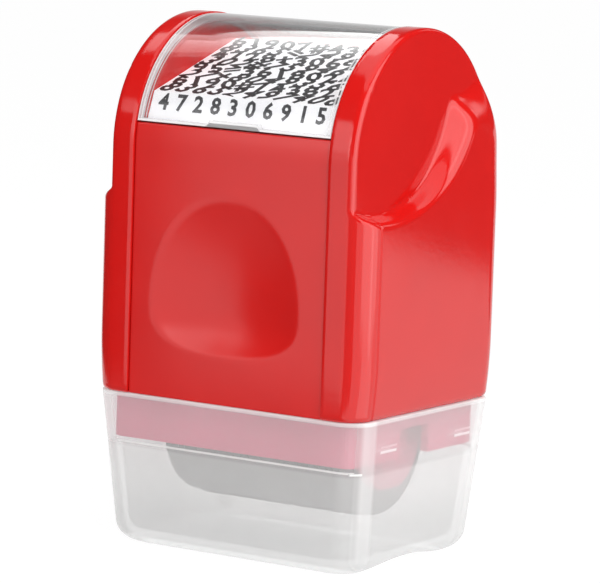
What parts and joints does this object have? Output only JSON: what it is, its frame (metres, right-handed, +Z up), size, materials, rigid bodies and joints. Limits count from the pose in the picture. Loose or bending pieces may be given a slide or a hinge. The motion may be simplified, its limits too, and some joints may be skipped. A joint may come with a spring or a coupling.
{
  "type": "roller stamp",
  "caption": "Hand-held roller stamp for masking printed text: arched case, clear label window, inked stamp roller in a cartridge, and a pull-off cap that it stands on.",
  "frame": {"origin": "centre of the bounding box at its bottom, where the cap's feet stand", "axes": "+Z up, from the cap to the label window; +X to the stamp's right along the rollers; the front with the readable label faces -Y"},
  "size_m": [0.06, 0.048, 0.0988],
  "materials": {
    "frosted_plastic": "frosted, see-through",
    "glossy_red_plastic": "high gloss",
    "clear_plastic": "clear",
    "card": "smooth white card with a printed pattern",
    "satin_red_plastic": "satin",
    "grey_plastic": "satin",
    "stamp_rubber": "matt, engraved",
    "ink_foam": "open foam, inked black",
    "steel": "plain"
  },
  "bodies": {
    "cap": {"protective_cap": "frosted_plastic"},
    "stamp_body": {"left_side_shell": "glossy_red_plastic", "right_side_shell": "glossy_red_plastic", "front_panel": "glossy_red_plastic", "back_panel": "glossy_red_plastic", "label_card": "card", "label_tray": "satin_red_plastic", "chassis_skirt": "satin_red_plastic", "cartridge_frame": "satin_red_plastic", "cartridge_right_cheek": "satin_red_plastic", "cheek_screw_front": "steel", "cheek_screw_back": "steel", "stamp_bush_left": "satin_red_plastic", "stamp_bush_right": "satin_red_plastic", "ink_bush_left": "satin_red_plastic", "ink_bush_right": "satin_red_plastic"},
    "window": {"window_cover": "clear_plastic"},
    "stamp_roller": {"stamp_rubber_sleeve": "stamp_rubber", "stamp_roller_core": "grey_plastic", "stamp_roller_left_disc": "grey_plastic", "stamp_roller_right_disc": "grey_plastic", "stamp_roller_axle": "steel"},
    "ink_roller": {"ink_foam_sleeve": "ink_foam", "ink_roller_core": "grey_plastic", "ink_roller_axle": "steel"}
  },
  "joints": [
    {"name": "stamp_body_lift", "type": "slide", "parent": "cap", "child": "stamp_body", "axis": [0, 0, 1], "range_m": [0, 0.03]},
    {"name": "window_lift", "type": "slide", "parent": "stamp_body", "child": "window", "axis": [0, 0, 1], "range_m": [0, 0.014]},
    {"name": "stamp_roller_spin", "type": "hinge", "parent": "stamp_body", "child": "stamp_roller", "pos_m": [0, 0, 0.0227], "axis": [1, 0, 0], "continuous": true},
    {"name": "ink_roller_spin", "type": "hinge", "parent": "stamp_body", "child": "ink_roller", "pos_m": [0, 0, 0.047], "axis": [1, 0, 0], "continuous": true}
  ],
  "couplings": [
    {"joint": "ink_roller_spin", "follows": "stamp_roller_spin", "ratio": -1.6667}
  ]
}
